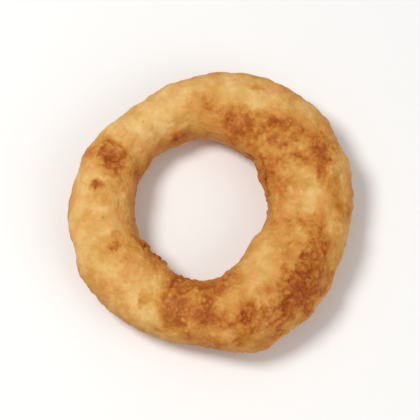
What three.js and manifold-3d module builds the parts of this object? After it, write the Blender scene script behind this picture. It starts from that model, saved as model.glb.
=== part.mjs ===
import * as THREE from 'three';
import { mergeVertices } from 'three/addons/utils/BufferGeometryUtils.js';
import Module from 'manifold-3d';

// One battered, fried onion ring, lying flat. Millimetres, +Z up, resting on Z = 0,
// with the middle of its outline over the origin. Angles around the ring are in
// degrees, 0 at +X and 90 at +Y. Angles across the limb start at its outer edge,
// with 90 at the top and 180 in the hole.

// Driving dimensions
const RING_WIDTH = 74.5;
const RING_LENGTH = 77;
const HOLE_WIDTH = 35.5;
const HOLE_LENGTH = 41;
const HOLE_OFFSET_X = -2.4;   // leaves the limb thickest at +X
const HOLE_OFFSET_Y = 0.3;
const LIMB_HEIGHT = 17;
const LIMB_SQUARENESS = 2.2;  // 2 is an oval section, larger is fuller at its corners

const FOOT_COUNT = 3;         // stretches of the underside that carry the ring
const FOOT_ANGLE = 100;       // middle of the first one
const FOOT_PRESS = 0.5;       // how much batter is pressed flat there
const WARP = 1.3;             // lift of the underside between two feet

const STEPS_AROUND = 124;
const STEPS_ACROSS = 34;

// Slow swells of the outer edge, the hole's edge and the height: where, how wide, how much.
const OUTLINE_SWELLS = [
  { at: 47, spread: 24, by: 2.3 },
  { at: 126, spread: 18, by: -2.2 },
  { at: 208, spread: 16, by: 1.0 },
  { at: 262, spread: 10, by: -0.9 },
  { at: 296, spread: 16, by: 2.2 },
];
const HOLE_SWELLS = [
  { at: 316, spread: 16, by: -2.6 },
  { at: 238, spread: 14, by: -0.6 },
  { at: 272, spread: 9, by: 1.7 },
  { at: 70, spread: 14, by: -0.6 },
];
const HEIGHT_SWELLS = [
  { at: 330, spread: 34, by: 1.2 },
  { at: 132, spread: 22, by: -1.4 },
  { at: 215, spread: 20, by: 0.5 },
];

// Waves that cross the batter's surface: which way, their length, height and phase.
const BATTER_WAVES = [
  { way: [1.0, 0.3, 0.4], length: 19, height: 0.18, phase: 0.6 },
  { way: [-0.5, 1.0, 0.3], length: 16, height: 0.17, phase: 2.1 },
  { way: [0.7, -0.8, 0.6], length: 13, height: 0.15, phase: 4.0 },
  { way: [0.2, 0.6, 1.0], length: 11, height: 0.13, phase: 1.3 },
  { way: [-1.0, -0.4, 0.8], length: 9, height: 0.12, phase: 5.2 },
  { way: [0.5, 1.0, -0.9], length: 7.5, height: 0.10, phase: 3.1 },
];

// Nubs of batter that set as they dripped, and one pinch across the outer shoulder.
// Each has its angle around the ring, its angle across the limb, its reach both ways
// in millimetres, and how far it stands out.
const NUBS = [
  { around: 214, across: 172, along: 1.9, over: 2.2, height: 1.0 },
  { around: 231, across: 190, along: 2.2, over: 2.4, height: 0.9 },
  { around: 33, across: 200, along: 2.8, over: 2.8, height: 0.9 },
  { around: 118, across: 158, along: 2.6, over: 2.4, height: 0.8 },
  { around: 262, across: 200, along: 2.2, over: 2.8, height: 1.0 },
  { around: 342, across: 205, along: 2.8, over: 2.6, height: 0.9 },
  { around: 5, across: 8, along: 3.0, over: 2.8, height: 0.6 },
  { around: 176, across: 330, along: 2.6, over: 2.6, height: 0.9 },
  { around: 286, across: 345, along: 2.8, over: 2.6, height: 0.8 },
  { around: 149, across: 62, along: 1.9, over: 4.2, height: -1.3 },
];

const FULL_TURN = 360;
const radians = THREE.MathUtils.degToRad;

// A bell curve's height, as a part of its peak, at a distance from its middle.
function bell(distance, spread) {
  return Math.exp(-0.5 * (distance / spread) ** 2);
}

// Smallest turn between two angles, in degrees.
function angleBetween(first, second) {
  const turn = THREE.MathUtils.euclideanModulo(first - second, FULL_TURN);
  return Math.min(turn, FULL_TURN - turn);
}

// The swells' sum at an angle around the ring.
function swellAt(angle, swells) {
  return swells.reduce((sum, { at, spread, by }) => sum + by * bell(angleBetween(angle, at), spread), 0);
}

// Distance from the middle of the ring to an oval that stands at an offset, along an angle.
function ovalReach(angle, width, length, offsetX, offsetY) {
  const across = Math.cos(radians(angle));
  const along = Math.sin(radians(angle));
  const halfWidth = width / 2;
  const halfLength = length / 2;
  const a = (across / halfWidth) ** 2 + (along / halfLength) ** 2;
  const b = -2 * (across * offsetX / halfWidth ** 2 + along * offsetY / halfLength ** 2);
  const c = (offsetX / halfWidth) ** 2 + (offsetY / halfLength) ** 2 - 1;
  return (-b + Math.sqrt(b * b - 4 * a * c)) / (2 * a);
}

// The limb's section at an angle around the ring: where its middle is, and its half sizes.
function limbAt(angle) {
  const outer = ovalReach(angle, RING_WIDTH, RING_LENGTH, 0, 0) + swellAt(angle, OUTLINE_SWELLS);
  const inner = ovalReach(angle, HOLE_WIDTH, HOLE_LENGTH, HOLE_OFFSET_X, HOLE_OFFSET_Y)
    + swellAt(angle, HOLE_SWELLS);
  const halfHeight = (LIMB_HEIGHT + swellAt(angle, HEIGHT_SWELLS)) / 2;
  const lift = WARP * (1 - Math.cos(radians(FOOT_COUNT * (angle - FOOT_ANGLE)))) / 2;
  return {
    middle: (outer + inner) / 2,
    halfWidth: (outer - inner) / 2,
    halfHeight,
    level: halfHeight + lift - FOOT_PRESS,
  };
}

// How far the batter's waves lift the surface at a point.
function wavesAt(point) {
  return BATTER_WAVES.reduce((sum, { way, length, height, phase }) => {
    const distance = new THREE.Vector3(...way).normalize().dot(point);
    return sum + height * Math.sin(2 * Math.PI * distance / length + phase);
  }, 0);
}

// How far the nubs and the pinch lift it, measured along the surface from each one's middle.
function nubsAt(around, across, limb) {
  return NUBS.reduce((sum, nub) => {
    const along = radians(angleBetween(around, nub.around)) * limb.middle;
    const over = radians(angleBetween(across, nub.across)) * limb.halfHeight;
    return sum + nub.height * bell(along, nub.along) * bell(over, nub.over);
  }, 0);
}

// A signed power, which bends a circle's sine or cosine into a fuller, squarer section.
function fuller(value) {
  return Math.sign(value) * Math.abs(value) ** (2 / LIMB_SQUARENESS);
}

// A point of the ring's surface: on the plain section, then moved out by the batter's relief.
function surfacePoint(around, across) {
  const limb = limbAt(around);
  const sideways = fuller(Math.cos(radians(across)));
  const upwards = fuller(Math.sin(radians(across)));
  const turn = radians(around);
  const reach = limb.middle + sideways * limb.halfWidth;
  const height = limb.level + upwards * limb.halfHeight;
  const point = new THREE.Vector3(reach * Math.cos(turn), reach * Math.sin(turn), height);
  const outwards = new THREE.Vector3(sideways * Math.cos(turn), sideways * Math.sin(turn), upwards);
  return point.addScaledVector(outwards.normalize(), wavesAt(point) + nubsAt(around, across, limb));
}

// A torus gives the closed net of points, and each of them is moved to the ring's surface.
function batteredRing() {
  const torus = new THREE.TorusGeometry(2, 1, STEPS_ACROSS, STEPS_AROUND);
  torus.deleteAttribute('normal');
  torus.deleteAttribute('uv');
  for (let row = 0; row <= STEPS_ACROSS; row += 1) {
    for (let column = 0; column <= STEPS_AROUND; column += 1) {
      const around = (column % STEPS_AROUND) * FULL_TURN / STEPS_AROUND;
      const across = (row % STEPS_ACROSS) * FULL_TURN / STEPS_ACROSS;
      const point = surfacePoint(around, across);
      torus.attributes.position.setXYZ(row * (STEPS_AROUND + 1) + column, point.x, point.y, point.z);
    }
  }
  return mergeVertices(torus);
}

const wasm = await Module();
wasm.setup();

function solidOf(geometry) {
  return new wasm.Manifold(new wasm.Mesh({
    numProp: 3,
    vertProperties: new Float32Array(geometry.attributes.position.array),
    triVerts: new Uint32Array(geometry.index.array),
  }));
}

function geometryOf(solid) {
  const mesh = solid.getMesh();
  const geometry = new THREE.BufferGeometry();
  geometry.setAttribute('position', new THREE.BufferAttribute(new Float32Array(mesh.vertProperties), 3));
  geometry.setIndex(new THREE.BufferAttribute(new Uint32Array(mesh.triVerts), 1));
  return geometry;
}

// Everything below the floor, which cuts the flat feet.
function belowFloor() {
  const side = 2 * RING_LENGTH;
  const block = new THREE.BoxGeometry(side, side, LIMB_HEIGHT);
  block.translate(0, 0, -LIMB_HEIGHT / 2);
  block.deleteAttribute('normal');
  block.deleteAttribute('uv');
  return mergeVertices(block);
}

function onionRing() {
  const geometry = geometryOf(solidOf(batteredRing()).subtract(solidOf(belowFloor())));
  geometry.computeBoundingBox();
  const middle = geometry.boundingBox.getCenter(new THREE.Vector3());
  geometry.translate(-middle.x, -middle.y, 0);
  geometry.computeVertexNormals();
  const friedBatter = new THREE.MeshStandardMaterial({ color: 0xe0a55c, roughness: 0.68, metalness: 0 });
  const ring = new THREE.Mesh(geometry, friedBatter);
  ring.name = 'onion_ring';
  return ring;
}

const model = new THREE.Group();
model.add(onionRing());

export default model;
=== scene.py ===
import math
import random

import bpy
import numpy as np
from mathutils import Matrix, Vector, noise


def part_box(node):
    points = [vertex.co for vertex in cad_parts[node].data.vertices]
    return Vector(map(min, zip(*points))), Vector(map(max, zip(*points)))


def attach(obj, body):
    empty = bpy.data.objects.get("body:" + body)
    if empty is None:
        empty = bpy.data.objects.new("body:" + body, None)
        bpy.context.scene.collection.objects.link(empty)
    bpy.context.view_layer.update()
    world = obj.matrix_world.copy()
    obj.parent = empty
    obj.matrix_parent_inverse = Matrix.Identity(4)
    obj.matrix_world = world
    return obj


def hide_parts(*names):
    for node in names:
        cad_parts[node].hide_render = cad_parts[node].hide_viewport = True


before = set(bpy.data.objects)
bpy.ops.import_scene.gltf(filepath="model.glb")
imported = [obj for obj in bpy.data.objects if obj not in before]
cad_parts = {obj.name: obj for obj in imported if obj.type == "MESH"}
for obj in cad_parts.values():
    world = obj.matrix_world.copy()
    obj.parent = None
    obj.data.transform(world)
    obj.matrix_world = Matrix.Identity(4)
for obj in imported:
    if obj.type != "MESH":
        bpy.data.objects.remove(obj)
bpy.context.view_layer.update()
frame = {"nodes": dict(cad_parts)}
bpy.ops.object.select_all(action="DESELECT")

mm = 0.001
cadName = "onion_ring"
print("frame loaded:", ", ".join(frame["nodes"]))


def only(piece):
    # select and activate one piece, as an operator needs
    bpy.ops.object.select_all(action="DESELECT")
    piece.select_set(True)
    bpy.context.view_layer.objects.active = piece


def useModifier(piece, kind, **settings):
    # add a modifier, set it and apply it
    only(piece)
    bpy.ops.object.modifier_add(type=kind)
    modifier = piece.modifiers[-1]
    for name, value in settings.items():
        setattr(modifier, name, value)
    bpy.ops.object.modifier_apply(modifier=modifier.name)


def vertexPlaces(piece):
    places = np.zeros(len(piece.data.vertices) * 3)
    piece.data.vertices.foreach_get("co", places)
    return places.reshape(-1, 3)


def vertexNormals(piece):
    normals = np.zeros(len(piece.data.vertices) * 3)
    piece.data.vertices.foreach_get("normal", normals)
    return normals.reshape(-1, 3)


def turnBetween(first, second):
    # smallest turn between angles, in degrees
    return np.abs((first - second + 180) % 360 - 180)


def easeBetween(value, low, high):
    # 0 below low, 1 above high and smooth between them; low may be the larger
    share = np.clip((value - low) / (high - low), 0, 1)
    return share * share * (3 - 2 * share)


def ringAngles(places):
    # the two angles of every point, with the limb's middle followed sector by sector
    reach = np.hypot(places[:, 0], places[:, 1])
    around = np.degrees(np.arctan2(places[:, 1], places[:, 0])) % 360
    count = crust["sectors"]
    sector = (around / 360 * count).astype(int) % count
    middles = np.zeros((count, 2))
    for index in range(count):
        here = sector == index
        middles[index] = [
            (reach[here].min() + reach[here].max()) / 2,
            (places[here, 2].min() + places[here, 2].max()) / 2,
        ]
    centres = (np.arange(count) + 0.5) * 360 / count
    limbReach = np.interp(around, centres, middles[:, 0], period=360)
    limbLevel = np.interp(around, centres, middles[:, 1], period=360)
    over = np.degrees(np.arctan2(places[:, 2] - limbLevel, reach - limbReach)) % 360
    return around, over


def noiseField(places, size, seed, depth=3):
    # smooth noise from about -1 to 1, with features of one size and finer ones over them
    shift = Vector((seed * 3.7, seed * -2.3, seed * 5.1))
    return np.array([noise.fractal(Vector(p) / size + shift, 1.0, 2.0, depth) for p in places])


def bubbleField(places, size, seed, radius, share):
    # round bumps from 0 to 1 at random places, some large and some small, not in every cell
    shift = Vector((seed * 1.9, seed * 4.3, seed * -3.1))
    found = np.zeros(len(places))
    for index, place in enumerate(places):
        distances, centres = noise.voronoi(Vector(place) / size + shift)
        chance = noise.cell(centres[0] * 7.3 + shift) * 0.5 + 0.5
        if chance < share:
            reach = radius * (0.65 + 0.5 * chance / share)
            found[index] = max(0.0, 1 - (distances[0] * size / reach) ** 2) * reach / radius
    return found


def placesOf(patches, around, over, wobble):
    # how far each point lies in any of the patches, their outlines broken up by wobble
    total = np.zeros(len(around))
    for patch in patches:
        along = np.radians(turnBetween(around, patch["around"])) * crust["limbLine"]
        across = np.radians(turnBetween(over, patch["over"])) * crust["limbReach"]
        away = np.hypot(along / (patch["long"] * mm), across / (patch["wide"] * mm))
        total += patch["much"] * easeBetween(away + wobble, crust["patchEnd"], crust["patchCore"])
    return total


# The battered ring is the CAD's solid with its crust sculpted on. Places on it are told by two
# angles in degrees: around, 0 at +X and 90 at +Y, and over the limb, 0 at its outer edge,
# 90 on top, 180 in the hole and 270 underneath.
crust = {
    "limbLine": 28 * mm,      # from the ring's middle to the middle of its limb
    "limbReach": 9 * mm,      # from there to the crust
    "sectors": 72,            # how finely the limb's middle is followed
    "voxel": 0.4 * mm,
    "smoothings": 3,
    "lumpSize": 8 * mm,
    "lumpHeight": 0.45 * mm,
    "rippleSize": 3.1 * mm,
    "rippleHeight": 0.27 * mm,
    "grainSize": 0.9 * mm,
    "grainHeight": 0.09 * mm,
    "granules": [(2.3 * mm, 0.42 * mm), (1.4 * mm, 0.3 * mm)],
    "granuleReach": 0.62,     # as a part of their size
    "granuleShare": 0.8,      # of the places that could hold one
    "paleGranules": 0.12,     # their height on pale batter, as a part of that on brown
    "bubbleSize": 4.2 * mm,
    "bubbleReach": 1.3 * mm,
    "bubbleShare": 0.4,
    "bubbleHeight": 0.3 * mm,
    "pitSize": 2.6 * mm,
    "pitReach": 0.6 * mm,
    "pitShare": 0.3,
    "pitDepth": 0.3 * mm,
    "warpSize": 2 * mm,       # what keeps the bumps from being round
    "warpReach": 0.5 * mm,
    "neutral": 0.25,          # browning of plain batter
    "patchCore": 0.25,        # part of a patch's reach that it fills whole
    "patchEnd": 1.5,          # part of its reach where it has faded out
    "patchWobbleSize": 6 * mm,
    "spotWobbleSize": 1.4 * mm,
    "wobble": 0.6,
    "brokenSize": 3 * mm,
    "broken": 0.35,
    "straySize": 6 * mm,
    "stray": 0.15,
    "standingRounds": 14,
    "standingHeight": 0.5 * mm,
    "top": 82,                # over angle that the sides turn down from, in degrees
    "wallStart": 25,          # how far from there they start
    "wallWhole": 105,
    "crumbSizes": (0.6, 1.25),     # as a part of their cluster's
    "crumbSunk": (0.3, 0.7),
    "crumbStretch": (0.7, 1.3),
    "crumbRoughness": 0.2 * mm,
    "clusterEdge": 0.35,
    "seed": 11,
}

# where the oil browned the batter, and how much, or left it pale where that is negative:
# long is half the patch's length along the ring and wide half its width over the limb, in mm
brownPatches = [
    {"around": 29, "over": 60, "long": 5.5, "wide": 5, "much": 0.75},       # the craggy field
    {"around": 47, "over": 106, "long": 9, "wide": 6.5, "much": 0.85},
    {"around": 70, "over": 124, "long": 9, "wide": 5.5, "much": 0.6},
    {"around": 22, "over": 92, "long": 6, "wide": 5, "much": 0.4},
    {"around": 42, "over": 100, "long": 5, "wide": 5, "much": 0.6},
    {"around": 58, "over": 148, "long": 7, "wide": 3, "much": 0.5},
    {"around": 38, "over": 152, "long": 13, "wide": 4, "much": 0.3},
    {"around": 92, "over": 106, "long": 5, "wide": 4, "much": 0.3},
    {"around": 12, "over": 60, "long": 7, "wide": 5, "much": 0.45},         # right side
    {"around": 6, "over": 134, "long": 9, "wide": 5, "much": 0.5},
    {"around": 349, "over": 70, "long": 5, "wide": 4, "much": 0.2},
    {"around": 334, "over": 92, "long": 9, "wide": 5.5, "much": 0.45},
    {"around": 318, "over": 56, "long": 11, "wide": 7, "much": 1.1},        # thick side's shoulder
    # a darker band low on the outer edge: painted shade, partly browning
    {"around": 335, "over": 20, "long": 16, "wide": 4, "much": 0.2},
    {"around": 298, "over": 32, "long": 9, "wide": 4.5, "much": 0.6},
    {"around": 278, "over": 62, "long": 6, "wide": 6, "much": 0.5},         # nearest side
    {"around": 259, "over": 88, "long": 7, "wide": 14, "much": 0.8},
    {"around": 252, "over": 92, "long": 3, "wide": 9, "much": 0.5},
    {"around": 271, "over": 106, "long": 4, "wide": 4, "much": 0.5},
    {"around": 246, "over": 136, "long": 4, "wide": 4, "much": 0.55},
    {"around": 256, "over": 118, "long": 5, "wide": 4, "much": 0.3},
    {"around": 286, "over": 66, "long": 4, "wide": 3.5, "much": 0.3},
    {"around": 280, "over": 138, "long": 9, "wide": 4.5, "much": 0.55},
    {"around": 300, "over": 72, "long": 5, "wide": 5, "much": 0.3},
    {"around": 208, "over": 94, "long": 4.5, "wide": 4.5, "much": 0.55},    # left side
    {"around": 214, "over": 148, "long": 8, "wide": 3.5, "much": 0.6},
    {"around": 178, "over": 88, "long": 3, "wide": 3, "much": 0.55},
    {"around": 168, "over": 114, "long": 6, "wide": 4, "much": 0.3},
    {"around": 115, "over": 164, "long": 8, "wide": 3.5, "much": 0.4},      # rim of the hole: partly browning, partly painted shade along it
    {"around": 152, "over": 82, "long": 6, "wide": 9, "much": 0.65},        # the pinch
    {"around": 151, "over": 112, "long": 4, "wide": 4, "much": 0.4},
    {"around": 155, "over": 92, "long": 4, "wide": 5, "much": 0.7},
    {"around": 20, "over": 185, "long": 16, "wide": 6, "much": 0.5},
    {"around": 160, "over": 180, "long": 12, "wide": 4, "much": 0.4},
    {"around": 90, "over": 345, "long": 14, "wide": 4, "much": 0.45},       # outer wall
    {"around": 205, "over": 335, "long": 12, "wide": 4, "much": 0.45},
    {"around": 60, "over": 262, "long": 18, "wide": 6, "much": 0.6},        # underside
    {"around": 180, "over": 275, "long": 16, "wide": 6, "much": 0.6},
    {"around": 300, "over": 268, "long": 18, "wide": 7, "much": 0.6},
    {"around": 128, "over": 80, "long": 11, "wide": 8, "much": -0.3},       # the palest batter
    {"around": 84, "over": 66, "long": 13, "wide": 5, "much": -0.3},
    {"around": 2, "over": 81, "long": 4, "wide": 3.5, "much": -0.45},
    {"around": 12, "over": 28, "long": 5, "wide": 2.5, "much": -0.5},
    {"around": 194, "over": 58, "long": 13, "wide": 8, "much": -0.2},
    {"around": 308, "over": 112, "long": 12, "wide": 5, "much": -0.25},
    {"around": 315, "over": 88, "long": 5, "wide": 3.5, "much": -0.3},
    {"around": 62, "over": 78, "long": 6, "wide": 4, "much": -0.4},
    {"around": 30, "over": 127, "long": 3.5, "wide": 3, "much": -0.35},
    {"around": 346, "over": 64, "long": 4, "wide": 3.5, "much": -0.3},
    {"around": 241, "over": 86, "long": 3.5, "wide": 11, "much": -0.35},
    {"around": 295, "over": 92, "long": 4, "wide": 4, "much": -0.3},
    {"around": 41, "over": 74, "long": 3, "wide": 3, "much": -0.3},
    {"around": 325, "over": 26, "long": 6, "wide": 2, "much": -0.35},
    {"around": 106, "over": 146, "long": 5, "wide": 3, "much": -0.3},
    {"around": 135, "over": 122, "long": 6, "wide": 5, "much": -0.25},
]

# small dark spots, told in the same way
darkSpots = [
    {"around": 156, "over": 92, "long": 1.7, "wide": 2.8, "much": 0.9},
    {"around": 147, "over": 60, "long": 1.4, "wide": 2.4, "much": 0.45},
    {"around": 157, "over": 40, "long": 1.2, "wide": 2.6, "much": 0.4},
    {"around": 172, "over": 80, "long": 1.2, "wide": 2.4, "much": 0.8},
    {"around": 207, "over": 98, "long": 1.2, "wide": 2.0, "much": 0.7},
    {"around": 201, "over": 104, "long": 1.0, "wide": 1.0, "much": 0.45},
    {"around": 238, "over": 70, "long": 1.5, "wide": 3.0, "much": 0.5},
    {"around": 93, "over": 104, "long": 1.0, "wide": 2.0, "much": 0.35},
    {"around": 70, "over": 58, "long": 1.9, "wide": 1.3, "much": 0.4},
    {"around": 78, "over": 128, "long": 1.8, "wide": 1.8, "much": 0.6},
    {"around": 63, "over": 125, "long": 1.6, "wide": 1.4, "much": 0.5},
    {"around": 52, "over": 98, "long": 1.8, "wide": 1.4, "much": 0.45},
    {"around": 46, "over": 123, "long": 1.8, "wide": 1.8, "much": 0.45},
    {"around": 53, "over": 172, "long": 2.6, "wide": 1.6, "much": 0.7},
    {"around": 29, "over": 158, "long": 2.0, "wide": 2.0, "much": 0.9},
    {"around": 30, "over": 60, "long": 3.0, "wide": 3.0, "much": 0.5},
    {"around": 14, "over": 72, "long": 1.9, "wide": 1.2, "much": 0.5},
    {"around": 2, "over": 48, "long": 2.5, "wide": 1.0, "much": 0.25},
    {"around": 348, "over": 70, "long": 3.0, "wide": 2.0, "much": 0.35},
    {"around": 115, "over": 160, "long": 1.9, "wide": 1.7, "much": 0.8},
    {"around": 326, "over": 70, "long": 2.0, "wide": 1.8, "much": 0.6},
    {"around": 316, "over": 57, "long": 3.0, "wide": 2.8, "much": 1.0},
    {"around": 323, "over": 51, "long": 2.0, "wide": 1.4, "much": 0.55},
    {"around": 314, "over": 38, "long": 2.4, "wide": 1.8, "much": 0.65},
    {"around": 305, "over": 46, "long": 2.0, "wide": 1.3, "much": 1.0},
    {"around": 285, "over": 60, "long": 2.2, "wide": 1.8, "much": 0.9},
    {"around": 276, "over": 64, "long": 1.2, "wide": 2.6, "much": 0.5},
    {"around": 257, "over": 44, "long": 1.6, "wide": 1.2, "much": 0.85},
    {"around": 252, "over": 103, "long": 1.4, "wide": 2.2, "much": 0.6},
    {"around": 247, "over": 130, "long": 1.4, "wide": 2.0, "much": 0.7},
    {"around": 266, "over": 130, "long": 2.4, "wide": 1.4, "much": 0.4},
    {"around": 213, "over": 149, "long": 1.8, "wide": 1.6, "much": 0.9},
    {"around": 228, "over": 156, "long": 2.2, "wide": 1.4, "much": 0.8},
]

# narrow creases where the batter folded, told in the same way, with their depth in mm; their colour is
# also painted dark, as painted shade in the folds
creases = [
    {"around": 147, "over": 80, "long": 0.5, "wide": 3.6, "much": 0.5},
    {"around": 156, "over": 92, "long": 0.5, "wide": 3.0, "much": 0.6},
    {"around": 153, "over": 66, "long": 2.6, "wide": 0.5, "much": 0.45},
    {"around": 161, "over": 84, "long": 0.45, "wide": 2.6, "much": 0.35},
    {"around": 326, "over": 74, "long": 2.6, "wide": 0.5, "much": 0.4},
    {"around": 305, "over": 48, "long": 2.4, "wide": 0.5, "much": 0.5},
    {"around": 296, "over": 34, "long": 3.0, "wide": 0.5, "much": 0.35},
    {"around": 285, "over": 62, "long": 0.6, "wide": 1.8, "much": 0.5},
    {"around": 247, "over": 108, "long": 0.5, "wide": 5.0, "much": 0.4},
    {"around": 172, "over": 80, "long": 1.8, "wide": 0.5, "much": 0.35},
    {"around": 52, "over": 168, "long": 2.6, "wide": 0.5, "much": 0.45},
]

# crumbs of batter that stick out: so many within a reach of a place, each about one size, in mm
crumbClusters = [
    {"around": 214, "over": 152, "reach": 3.0, "count": 10, "size": 0.8},
    {"around": 228, "over": 164, "reach": 3.2, "count": 8, "size": 0.8},
    {"around": 52, "over": 128, "reach": 14, "count": 8, "size": 0.45},
    {"around": 318, "over": 66, "reach": 5, "count": 4, "size": 0.45},
    {"around": 268, "over": 92, "reach": 11, "count": 6, "size": 0.45},
    {"around": 10, "over": 190, "reach": 12, "count": 7, "size": 0.6},
    {"around": 90, "over": 345, "reach": 12, "count": 6, "size": 0.6},
    {"around": 205, "over": 318, "reach": 8, "count": 6, "size": 0.6},
]


def copyOfNode(name, pieceName):
    # a piece of its own from a CAD node's mesh, with the loose triangles merged
    piece = bpy.data.objects.new(pieceName, frame["nodes"][name].data.copy())
    bpy.context.scene.collection.objects.link(piece)
    piece.data.materials.clear()
    only(piece)
    bpy.ops.object.mode_set(mode="EDIT")
    bpy.ops.mesh.select_all(action="SELECT")
    bpy.ops.mesh.remove_doubles(threshold=0.01 * mm)
    bpy.ops.object.mode_set(mode="OBJECT")
    return piece


def makeCrumb():
    # one rough crumb about 2 mm across, to be copied
    bpy.ops.mesh.primitive_ico_sphere_add(subdivisions=2, radius=1 * mm, location=(0, 0, 0))
    crumb = bpy.context.object
    crumb.name = "crumb"
    bpy.ops.object.mode_set(mode="EDIT")
    bpy.ops.mesh.select_all(action="SELECT")
    bpy.ops.transform.vertex_random(offset=crust["crumbRoughness"], uniform=1.0, seed=crust["seed"])
    bpy.ops.object.mode_set(mode="OBJECT")
    return crumb


def addCrumbs(ring):
    # crumbs half sunk in the crust
    places = vertexPlaces(ring)
    normals = vertexNormals(ring)
    around, over = ringAngles(places)
    draw = random.Random(crust["seed"])
    first = makeCrumb()
    crumbs = []
    for cluster in crumbClusters:
        spread = cluster | {"long": cluster["reach"], "wide": cluster["reach"] * 0.6, "much": 1}
        near = np.flatnonzero(placesOf([spread], around, over, 0) > crust["clusterEdge"]).tolist()
        for _ in range(cluster["count"]):
            index = draw.choice(near)
            size = cluster["size"] * draw.uniform(*crust["crumbSizes"])
            crumb = first.copy()
            crumb.data = first.data.copy()
            bpy.context.scene.collection.objects.link(crumb)
            sunk = draw.uniform(*crust["crumbSunk"])
            crumb.location = places[index] - normals[index] * size * mm * sunk
            crumb.rotation_euler = [draw.uniform(0, math.tau) for _ in range(3)]
            crumb.scale = [size * draw.uniform(*crust["crumbStretch"]) for _ in range(3)]
            crumbs.append(crumb)
    bpy.data.objects.remove(first)
    only(ring)
    for crumb in crumbs:
        crumb.select_set(True)
    bpy.ops.object.join()
    print("crumbs added:", len(crumbs))


def raiseBy(piece, relief):
    # push the surface out along its normals by a height at every vertex, in metres
    lowest, highest = relief.min(), relief.max()
    useModifier(piece, "DISPLACE", strength=lowest, mid_level=0.0)
    group = piece.vertex_groups.new(name="raised")
    for index, weight in enumerate(((relief - lowest) / (highest - lowest)).tolist()):
        group.add([index], weight, "REPLACE")
    useModifier(piece, "DISPLACE", vertex_group="raised", strength=highest - lowest, mid_level=0.0)
    piece.vertex_groups.clear()


def flattenFeet(piece):
    # whatever sank below the floor is pressed flat on it
    only(piece)
    bpy.ops.object.mode_set(mode="EDIT")
    bpy.ops.mesh.select_all(action="DESELECT")
    bpy.ops.object.mode_set(mode="OBJECT")
    piece.data.vertices.foreach_set("select", vertexPlaces(piece)[:, 2] < 0)
    bpy.ops.object.mode_set(mode="EDIT")
    bpy.ops.transform.resize(value=(1, 1, 0), center_override=(0, 0, 0))
    bpy.ops.object.mode_set(mode="OBJECT")


def reliefOf(piece, rounds):
    # how far each point stands out from the surface smoothed over its neighbours, in metres
    places = vertexPlaces(piece)
    ends = np.zeros(len(piece.data.edges) * 2, int)
    piece.data.edges.foreach_get("vertices", ends)
    first, second = ends.reshape(-1, 2).T
    neighbours = np.bincount(np.concatenate([first, second]), minlength=len(places))[:, None]
    smooth = places.copy()
    for _ in range(rounds):
        total = np.zeros_like(smooth)
        np.add.at(total, first, smooth[second])
        np.add.at(total, second, smooth[first])
        smooth = total / neighbours
    return ((places - smooth) * vertexNormals(piece)).sum(1)


def paint(piece, name, field):
    # keep a value on every vertex for the material
    attribute = piece.data.attributes.new(name, "FLOAT", "POINT")
    attribute.data.foreach_set("value", np.clip(field, 0, 1).astype(np.float32))


def browning(places):
    # how brown the batter is at each point, 0 palest to 1 deepest
    seed = crust["seed"]
    wobble = crust["wobble"] * noiseField(places, crust["patchWobbleSize"], seed)
    patched = placesOf(brownPatches, *ringAngles(places), wobble)
    broken = 0.9 + crust["broken"] * noiseField(places, crust["brokenSize"], seed + 9)
    stray = easeBetween(noiseField(places, crust["straySize"], seed + 1), 0.1, 0.8)
    brown = crust["neutral"] + (1 - crust["neutral"]) * patched * broken + crust["stray"] * stray
    return np.clip(brown, 0, 1)


def crustRelief(places, brown):
    # height of the crust over the smooth batter at each point, in metres
    seed = crust["seed"]
    relief = crust["lumpHeight"] * noiseField(places, crust["lumpSize"], seed + 2, 2)
    relief += crust["rippleHeight"] * noiseField(places, crust["rippleSize"], seed + 3)
    relief += crust["grainHeight"] * noiseField(places, crust["grainSize"], seed + 7, 2)
    sideways = [noiseField(places, crust["warpSize"], seed + turn, 2) for turn in range(3)]
    warped = places + crust["warpReach"] * np.stack(sideways, 1)
    pale = crust["paleGranules"]
    rough = pale + (1 - pale) * easeBetween(brown, 0.3, 0.75)
    for size, height in crust["granules"]:
        reach = crust["granuleReach"] * size
        relief += height * rough * bubbleField(warped, size, seed + 10, reach, crust["granuleShare"])
    relief += crust["bubbleHeight"] * bubbleField(
        warped, crust["bubbleSize"], seed + 5, crust["bubbleReach"], crust["bubbleShare"])
    relief -= crust["pitDepth"] * bubbleField(
        warped, crust["pitSize"], seed + 6, crust["pitReach"], crust["pitShare"])
    relief -= mm * placesOf(creases, *ringAngles(warped), 0)
    return relief - relief.mean()


def sculptRing():
    ring = copyOfNode(cadName, "batteredRing")
    useModifier(ring, "SUBSURF", levels=1, render_levels=1)
    useModifier(ring, "REMESH", mode="VOXEL", voxel_size=crust["voxel"])
    useModifier(ring, "SMOOTH", factor=0.5, iterations=crust["smoothings"])
    print("ring remeshed:", len(ring.data.polygons), "faces")
    places = vertexPlaces(ring)
    raiseBy(ring, crustRelief(places, browning(places)))
    print("crust raised")
    addCrumbs(ring)
    flattenFeet(ring)

    places = vertexPlaces(ring)
    around, over = ringAngles(places)
    paint(ring, "browned", browning(places))
    wobble = crust["wobble"] * noiseField(places, crust["spotWobbleSize"], crust["seed"] + 8)
    # dark spots, and the creases painted dark as painted shade in the folds
    paint(ring, "scorched", placesOf(darkSpots + creases, around, over, wobble))
    # how far each point stands out, for painted shade: hollows darker and raised bits lighter
    paint(ring, "standing", 0.5 + reliefOf(ring, crust["standingRounds"]) / crust["standingHeight"])
    # sides turned away from the top get darker batter: partly real browning, partly painted shade
    fromTop = turnBetween(over, crust["top"])
    paint(ring, "turnedDown", easeBetween(fromTop, crust["wallStart"], crust["wallWhole"]))
    only(ring)
    bpy.ops.object.shade_smooth()
    return ring


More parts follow.
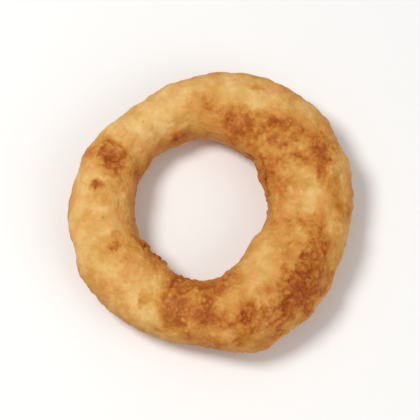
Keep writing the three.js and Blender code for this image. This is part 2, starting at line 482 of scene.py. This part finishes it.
class Wire:
    # a socket in a material, so that sums on sockets add their nodes
    def __init__(self, tree, socket=None):
        self.tree = tree
        self.socket = socket

    def node(self, kind, settings=None, sockets=None, output=0):
        made = self.tree.nodes.new("ShaderNode" + kind)
        for name, value in (settings or {}).items():
            if name == "stops":
                self.setStops(made.color_ramp.elements, value)
            else:
                setattr(made, name, value)
        for name, value in (sockets or {}).items():
            if isinstance(value, Wire):
                self.tree.links.new(value.socket, made.inputs[name])
            else:
                made.inputs[name].default_value = value
        return Wire(self.tree, made.outputs[output]) if made.outputs else None

    def setStops(self, elements, stops):
        while len(elements) < len(stops):
            elements.new(1.0)
        for element, (position, colour) in zip(elements, stops):
            element.position = position
            element.color = colour

    def maths(self, operation, first, second):
        return self.node("Math", {"operation": operation}, {0: first, 1: second})

    def __add__(self, other):
        return self.maths("ADD", self, other)

    def __radd__(self, other):
        return self.maths("ADD", other, self)

    def __sub__(self, other):
        return self.maths("SUBTRACT", self, other)

    def __rsub__(self, other):
        return self.maths("SUBTRACT", other, self)

    def __mul__(self, other):
        return self.maths("MULTIPLY", self, other)

    def __rmul__(self, other):
        return self.maths("MULTIPLY", other, self)

    def between(self, low, high):
        # 0 below low, 1 above high and smooth between
        return self.node("MapRange", {"interpolation_type": "SMOOTHSTEP"},
                         {"Value": self, "From Min": low, "From Max": high})

    def least(self, other):
        return self.maths("MINIMUM", self, other)

    def ramp(self, stops):
        # a colour for every value, through the stops
        return self.node("ValToRGB", {"stops": stops}, {0: self})

    def tint(self, colour, mask):
        # this colour turned towards another where the mask is 1
        return self.node("Mix", {"data_type": "RGBA"}, {0: mask, 6: self, 7: colour}, output=2)

    def noise(self, place, size, detail=3.0, roughness=0.5):
        # features of one size in mm
        sockets = {"Vector": place, "Scale": 1 / (size * mm), "Detail": detail, "Roughness": roughness}
        return self.node("TexNoise", {}, sockets)


def linear(red, green, blue):
    # a colour as seen on a screen, 0 to 255, in the shader's own scale
    def channel(value):
        share = value / 255
        return share / 12.92 if share <= 0.04045 else ((share + 0.055) / 1.055) ** 2.4
    return (channel(red), channel(green), channel(blue), 1.0)


batter = {
    "roast": [                # from the palest to scorched batter
        (0.00, linear(237, 201, 142)),
        (0.20, linear(228, 184, 113)),
        (0.40, linear(213, 155, 78)),
        (0.55, linear(201, 135, 56)),
        (0.70, linear(186, 110, 36)),
        (0.85, linear(160, 76, 19)),
        (1.00, linear(132, 58, 15)),
    ],
    "pale": 0.21,             # where unbrowned batter stands on that scale
    "brown": 0.52,            # how much further browned batter stands
    "wallShadeAndBrowning": 0.22,            # and what is turned down, painted darker: partly browning, partly painted shade
    "brownest": 0.82,
    "scorched": 0.86,
    "broadShare": 0.6,        # how far each unevenness shifts plain batter on that scale
    "mottleShare": 0.5,
    "gritShare": 0.2,
    "brownMottle": 0.35,      # and how much further it shifts browned batter
    "brownGrit": 0.2,
    "reliefShadeShare": 0.2,
    # painted shade between the pebbles of crust
    "pebbleCreviceShade": 0.15,
    "scorchedGrit": 0.7,
    "blush": linear(232, 148, 92),
    "blushShare": 0.42,
    "blushRange": (0.48, 0.68),    # of the noise that places it
    "olive": linear(204, 160, 74),
    "oliveShare": 0.45,
    "oliveRange": (0.5, 0.7),
    "brownCover": 0.7,        # how much of both browning hides
    "herb": linear(120, 96, 36),
    "herbShare": 0.5,
    "herbReach": (0.05, 0.13),     # as a part of their spacing
    "herbChance": (0.72, 0.74),    # of the cell's random value that brings one
    "broadSize": 10,          # sizes in mm
    "mottleSize": 3.4,
    "gritSize": 1.0,
    "fineSize": 0.3,
    "pebbleSize": 0.9,
    "pebbleBendSize": 1.5,
    "pebbleBend": 0.6,
    "blushSize": 5,
    "oliveSize": 7,
    "oilSize": 6,
    "herbSpacing": 3.4,
    "fineDents": 0.3,         # parts of the dents' depth
    "gritDents": 0.6,
    "pebbleDents": (0.2, 0.7),     # on pale batter, and how much more on browned
    "dentDepth": 0.35 * mm,
    "roughness": 0.5,
    "gritRoughness": 0.25,
    "dryRoughness": 0.12,
    "oilCoat": 0.12,
    "oilRange": (0.42, 0.7),
    "scatterDepth": 1.2 * mm,
}


def bakedColour(shader, place, marks, pebbles):
    # the batter's colour, from how far each point is browned, how dark its spots and creases are, how
    # far it is raised and how far it is turned down; hollows, creases and the cracks between pebbles
    # are painted darker and raised bits lighter as painted shade, and turned-down sides darker, partly
    # from browning and partly as painted shade
    browned, scorched = marks["browned"], marks["scorched"]
    broad = shader.noise(place, batter["broadSize"], 3) - 0.5
    mottle = shader.noise(place, batter["mottleSize"], 5, 0.6) - 0.5
    grit = shader.noise(place, batter["gritSize"], 4, 0.6) - 0.5
    # turned-down sides painted darker: partly browning, partly painted shade
    roast = batter["pale"] + marks["turnedDown"] * batter["wallShadeAndBrowning"]
    roast = roast + broad * batter["broadShare"]
    roast = roast + mottle * batter["mottleShare"] + grit * batter["gritShare"]
    crusty = batter["brown"] + mottle * batter["brownMottle"] + grit * batter["brownGrit"]
    # painted shade: the crust's hollows darker and its raised bits lighter
    crusty = crusty - (marks["standing"] - 0.5) * batter["reliefShadeShare"]
    # painted shade: darker in the cracks between pebbles, lighter on their middles
    crusty = crusty + (pebbles - 0.4) * batter["pebbleCreviceShade"]
    roast = (roast + browned * crusty).least(batter["brownest"])
    # dark spots, and painted shade in the creases
    roast = roast + scorched * (batter["scorched"] + grit * batter["scorchedGrit"] - roast)
    colour = roast.ramp(batter["roast"])

    plain = (1 - browned * batter["brownCover"]) * (1 - scorched)
    blush = shader.noise(place, batter["blushSize"], 4, 0.6).between(*batter["blushRange"])
    colour = colour.tint(batter["blush"], blush * plain * batter["blushShare"])
    olive = shader.noise(place, batter["oliveSize"], 4, 0.6).between(*batter["oliveRange"])
    colour = colour.tint(batter["olive"], olive * plain * batter["oliveShare"])

    # herb specks: one in the middle of some cells
    cells = {"Vector": place, "Scale": 1 / (batter["herbSpacing"] * mm)}
    away = shader.node("TexVoronoi", {}, cells, output="Distance")
    draw = shader.node("SeparateColor", {}, {0: shader.node("TexVoronoi", {}, cells, output="Color")})
    herbs = (1 - away.between(*batter["herbReach"])) * draw.between(*batter["herbChance"])
    return colour.tint(batter["herb"], herbs * batter["herbShare"])


def pebbled(shader, place):
    # distance from the middle of each pebble of crust, the cells bent out of their straight sides
    reach = batter["pebbleBend"] * mm
    sideways = {"Vector": place, "Scale": 1 / (batter["pebbleBendSize"] * mm)}
    bent = shader.node("VectorMath", {"operation": "MULTIPLY_ADD"}, {
        0: shader.node("TexNoise", {}, sideways, output="Color"), 1: (reach, reach, reach), 2: place})
    cells = {"Vector": bent, "Scale": 1 / (batter["pebbleSize"] * mm), "Smoothness": 0.35}
    return shader.node("TexVoronoi", {"feature": "SMOOTH_F1"}, cells, output="Distance")


def batterMaterial():
    material = bpy.data.materials.new("friedBatter")
    material.use_nodes = True
    tree = material.node_tree
    tree.nodes.clear()
    shader = Wire(tree)
    place = shader.node("TexCoord", output="Object")
    marks = {name: shader.node("Attribute", {"attribute_name": name}, output="Fac")
             for name in ("browned", "scorched", "standing", "turnedDown")}
    pebbles = pebbled(shader, place)
    grit = shader.noise(place, batter["gritSize"], 4, 0.6)
    fine = shader.noise(place, batter["fineSize"], 3, 0.6)
    oil = shader.noise(place, batter["oilSize"], 2)
    onPale, onBrown = batter["pebbleDents"]
    dents = fine * batter["fineDents"] + grit * batter["gritDents"]
    dents = dents + (0.8 - pebbles) * (onPale + marks["browned"] * onBrown)
    bump = {"Height": dents, "Strength": 0.8, "Distance": batter["dentDepth"]}
    rough = batter["roughness"] + grit * batter["gritRoughness"] + (1 - oil) * batter["dryRoughness"]
    surface = shader.node("BsdfPrincipled", {}, {
        "Base Color": bakedColour(shader, place, marks, pebbles),
        "Roughness": rough,
        "Normal": shader.node("Bump", {}, bump),
        "IOR": 1.45,
        "Specular IOR Level": 0.24,
        "Subsurface Weight": 0.12,
        "Subsurface Radius": (1.0, 0.42, 0.16),
        "Subsurface Scale": batter["scatterDepth"],
        "Coat Weight": oil.between(*batter["oilRange"]) * batter["oilCoat"],
        "Coat Roughness": 0.35,
    })
    shader.node("OutputMaterial", {}, {"Surface": surface})
    return material


ring = sculptRing()
ring.data.materials.append(batterMaterial())
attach(ring, "root")
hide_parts(cadName)
print("ring finished:", sum(len(face.vertices) - 2 for face in ring.data.polygons), "triangles")


# the floor, the light and the camera
stage = {
    "floorSide": 6.0,
    "floorColour": linear(247, 246, 244),
    "skyStrength": 0.40,
    "keyPlace": (-0.32, 0.04, 0.66),
    "keySide": 0.26,
    "keyPower": 3.3,
    "fillPlace": (0.45, -0.30, 0.45),
    "fillSide": 0.6,
    "fillPower": 1.2,
    "elevation": 70,          # degrees above the floor
    "distance": 0.62,
    "lens": 200,
}


def makeFloor():
    bpy.ops.mesh.primitive_plane_add(size=stage["floorSide"], location=(0, 0, 0))
    floor = bpy.context.object
    floor.name = "floor"
    material = bpy.data.materials.new("paleFloor")
    material.use_nodes = True
    surface = material.node_tree.nodes["Principled BSDF"]
    surface.inputs["Base Color"].default_value = stage["floorColour"]
    surface.inputs["Roughness"].default_value = 0.75
    floor.data.materials.append(material)


def aim(piece, target):
    piece.rotation_euler = (target - piece.location).to_track_quat("-Z", "Y").to_euler()


def addLight(name, place, side, power, target):
    bpy.ops.object.light_add(type="AREA", location=place)
    light = bpy.context.object
    light.name = name
    light.data.shape = "DISK"
    light.data.size = side
    light.data.energy = power
    aim(light, target)


def lightStage(target):
    world = bpy.data.worlds.new("studio")
    bpy.context.scene.world = world
    world.use_nodes = True
    sky = world.node_tree.nodes["Background"]
    sky.inputs["Color"].default_value = (1.0, 1.0, 1.0, 1.0)
    sky.inputs["Strength"].default_value = stage["skyStrength"]
    addLight("keyLight", stage["keyPlace"], stage["keySide"], stage["keyPower"], target)
    addLight("fillLight", stage["fillPlace"], stage["fillSide"], stage["fillPower"], target)


def makeCamera(target):
    tilt = math.radians(stage["elevation"])
    place = target + stage["distance"] * Vector((0, -math.cos(tilt), math.sin(tilt)))
    bpy.ops.object.camera_add(location=place)
    camera = bpy.context.object
    camera.data.lens = stage["lens"]
    camera.data.clip_start = 0.01
    aim(camera, target)
    bpy.context.scene.camera = camera


low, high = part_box(cadName)
middle = (low + high) / 2
makeFloor()
lightStage(middle)
makeCamera(middle)
bpy.context.scene.view_settings.view_transform = "Standard"
print("stage set")
